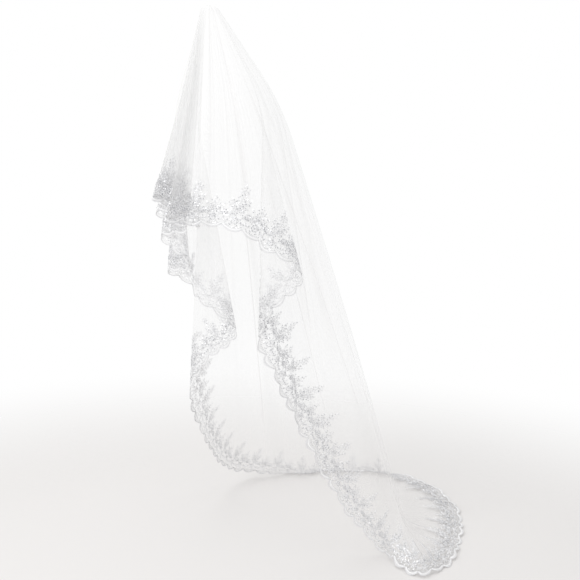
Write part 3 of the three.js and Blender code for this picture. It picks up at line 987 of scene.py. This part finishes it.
def tulleMaterial():
    material, tree, shader = newMaterial("tulleNet")
    place = addNode(tree, "ShaderNodeUVMap", (-1100, 100), uv_map="flatCut")
    sized = addNode(tree, "ShaderNodeMapping", (-900, 100))
    put(sized, "Location", (-0.5 * flatSheet, -0.5 * flatSheet, 0))
    put(sized, "Scale", (flatSheet, flatSheet, 1))
    mesh = addNode(tree, "ShaderNodeGroup", (-650, 100))
    mesh.node_tree = hexNetGroup()
    put(mesh, "Pitch", net["pitch"])
    join(tree, place, "UV", sized, "Vector")
    join(tree, sized, "Vector", mesh, "Place")
    cover = rangeTo(tree, (-400, 100), net["holeAlpha"], net["threadAlpha"])
    join(tree, mesh, "Thread", cover, "Value")
    gather = addNode(tree, "ShaderNodeAttribute", (-650, -150), attribute_name="gather")
    total = addNode(tree, "ShaderNodeMath", (-400, -150), operation="MULTIPLY")
    put(total, 1, net["gatherAlpha"])
    join(tree, gather, "Fac", total, 0)
    total, shade = addCreases(tree, sized, total)
    alpha = addNode(tree, "ShaderNodeMath", (-150, 0), operation="ADD")
    alpha.use_clamp = True
    join(tree, cover, "Result", alpha, 0)
    join(tree, total, "Value", alpha, 1)
    join(tree, alpha, "Value", shader, "Alpha")
    coords = addNode(tree, "ShaderNodeTexCoord", (-900, 350))
    cloud = addNode(tree, "ShaderNodeTexNoise", (-650, 350), Scale=net["unevenScale"], Detail=2.0)
    tones = [[share * c for c in net["colour"]] for share in (1 - net["uneven"], 1 + net["uneven"])]
    tint = twoTone(tree, (-400, 350), *tones)
    shaded = addNode(tree, "ShaderNodeMix", (-150, 300), data_type="RGBA")
    put(shaded, "B", (*net["shadeColour"], 1))
    join(tree, coords, "Object", cloud, "Vector")
    join(tree, cloud, "Fac", tint, "Factor")
    join(tree, tint, "Result", shaded, "A")
    join(tree, shade, "Value", shaded, "Factor")
    join(tree, shaded, "Result", shader, "Base Color")
    dull = rangeTo(tree, (-400, 600), net["holeRoughness"], net["threadRoughness"])
    join(tree, mesh, "Thread", dull, "Value")
    join(tree, dull, "Result", shader, "Roughness")
    put(shader, "Sheen Weight", net["sheen"])
    put(shader, "Specular IOR Level", net["specular"])
    return material


thread = {
    "stitch": 0.55,             # millimetres of cord for a radian of the ridges' wave
    "waveRate": 20.0,           # radians of the wave texture at scale 1
    "bumpHeight": 0.0004,       # metres
    "unevenScale": 60.0,        # how fine the uneven tone of the thread is
    "sheen": 0.15,
}

# one finish for each kind of thread: light and dark tone, the dark one partly painted
# shade in the stitches' grooves, least and most roughness, strength of the stitches'
# bump, share of cover
threadFinishes = {
    "outlines": {"name": "laceOutlineThread", "light": (0.95, 0.95, 0.96),
                 "dark": (0.81, 0.81, 0.83), "rough": (0.42, 0.58), "bump": 0.4, "alpha": 1.0},
    "cords": {"name": "laceCordThread", "light": (0.85, 0.85, 0.86),
              "dark": (0.66, 0.66, 0.68), "rough": (0.42, 0.58), "bump": 0.4, "alpha": 1.0},
    "satin": {"name": "laceSatinThread", "light": (0.97, 0.97, 0.97),
              "dark": (0.90, 0.90, 0.91), "rough": (0.28, 0.42), "bump": 0.4, "alpha": 1.0},
    "fills": {"name": "laceFillThread", "light": (0.97, 0.97, 0.97),
              "dark": (0.90, 0.90, 0.90), "rough": (0.42, 0.58), "bump": 0.3, "alpha": 0.24},
}

sequins = {
    "spotScale": 260.0,         # each sequin gets its own painted reflection, from a dark one to a bright glint
    # dark and light: painted reflections in the sequins' colour, a dark reflection and a bright
    # glint, over the metal's own reflection
    "dark": (0.38, 0.39, 0.42),
    "light": (0.98, 0.98, 0.99),
    "rough": (0.14, 0.30),
    "metallic": 0.8,
}


def stitchGroup():
    # thread laid side by side: a stripe over the cord's run, and a tone that is the thread's
    # uneven tone plus painted shade where the stripe is low, in the bump's grooves
    group, start, end = newGroup(
        "satinStitch", ["Run", "Place"], ["Stripe Scale", "Uneven Scale"], ["Height", "Tone"])
    stripe = addNode(group, "ShaderNodeTexWave", (-450, 150), wave_type="BANDS",
                     bands_direction="X", Distortion=1.2, Detail=1.0)
    cloud = addNode(group, "ShaderNodeTexNoise", (-450, -200), Detail=3.0)
    # the stripe also darkens the tone where it is low, in the grooves between threads: painted shade
    tone = addNode(group, "ShaderNodeMath", (-150, 0), operation="MULTIPLY_ADD")
    put(tone, 1, 0.4)
    join(group, start, "Run", stripe, "Vector")
    join(group, start, "Stripe Scale", stripe, "Scale")
    join(group, start, "Place", cloud, "Vector")
    join(group, start, "Uneven Scale", cloud, "Scale")
    join(group, stripe, "Fac", tone, 0)
    join(group, cloud, "Fac", tone, 2)
    join(group, stripe, "Fac", end, "Height")
    join(group, tone, "Value", end, "Tone")
    return group


def threadMaterial(finish, stitches):
    material, tree, shader = newMaterial(finish["name"])
    run = addNode(tree, "ShaderNodeUVMap", (-1000, 100), uv_map="flatCut")
    coords = addNode(tree, "ShaderNodeTexCoord", (-1000, -150))
    laid = addNode(tree, "ShaderNodeGroup", (-750, 0))
    laid.node_tree = stitches
    put(laid, "Stripe Scale", cordSheet / thread["stitch"] / thread["waveRate"])
    put(laid, "Uneven Scale", thread["unevenScale"])
    join(tree, run, "UV", laid, "Run")
    join(tree, coords, "Object", laid, "Place")
    # dark tone: partly the thread's uneven tone, partly painted shade in the stitches' grooves
    tint = twoTone(tree, (-350, 150), finish["dark"], finish["light"])
    join(tree, laid, "Tone", tint, "Factor")
    join(tree, tint, "Result", shader, "Base Color")
    dull = rangeTo(tree, (-350, -100), *finish["rough"][::-1])
    join(tree, laid, "Tone", dull, "Value")
    join(tree, dull, "Result", shader, "Roughness")
    bump = addNode(tree, "ShaderNodeBump", (-100, -250), Strength=finish["bump"],
                   Distance=thread["bumpHeight"])
    join(tree, laid, "Height", bump, "Height")
    join(tree, bump, "Normal", shader, "Normal")
    put(shader, "Sheen Weight", thread["sheen"])
    put(shader, "Alpha", finish["alpha"])
    return material


def sequinMaterial():
    material, tree, shader = newMaterial("sequinPaintedReflections")
    coords = addNode(tree, "ShaderNodeTexCoord", (-900, 0))
    spots = addNode(tree, "ShaderNodeTexVoronoi", (-700, 0), Scale=sequins["spotScale"])
    join(tree, coords, "Object", spots, "Vector")
    split = addNode(tree, "ShaderNodeSeparateColor", (-520, 0))
    join(tree, spots, "Color", split, "Color")
    # painted reflections: each sequin's colour runs from a dark reflection to a bright glint
    tint = twoTone(tree, (-250, 100), sequins["dark"], sequins["light"])
    join(tree, split, "Red", tint, "Factor")
    join(tree, tint, "Result", shader, "Base Color")
    dull = rangeTo(tree, (-250, -150), *sequins["rough"])
    join(tree, split, "Green", dull, "Value")
    join(tree, dull, "Result", shader, "Roughness")
    put(shader, "Metallic", sequins["metallic"])
    return material


tullePiece.data.materials.append(tulleMaterial())
stitches = stitchGroup()
for kind, finish in threadFinishes.items():
    lacePieces[kind].data.materials.append(threadMaterial(finish, stitches))
lacePieces["beads"].data.materials.append(sequinMaterial())
print("materials ready")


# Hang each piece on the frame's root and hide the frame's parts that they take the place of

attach(tullePiece, "root")
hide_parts("tulle")
for piece in lacePieces.values():
    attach(piece, "root")
    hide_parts("lace_border")
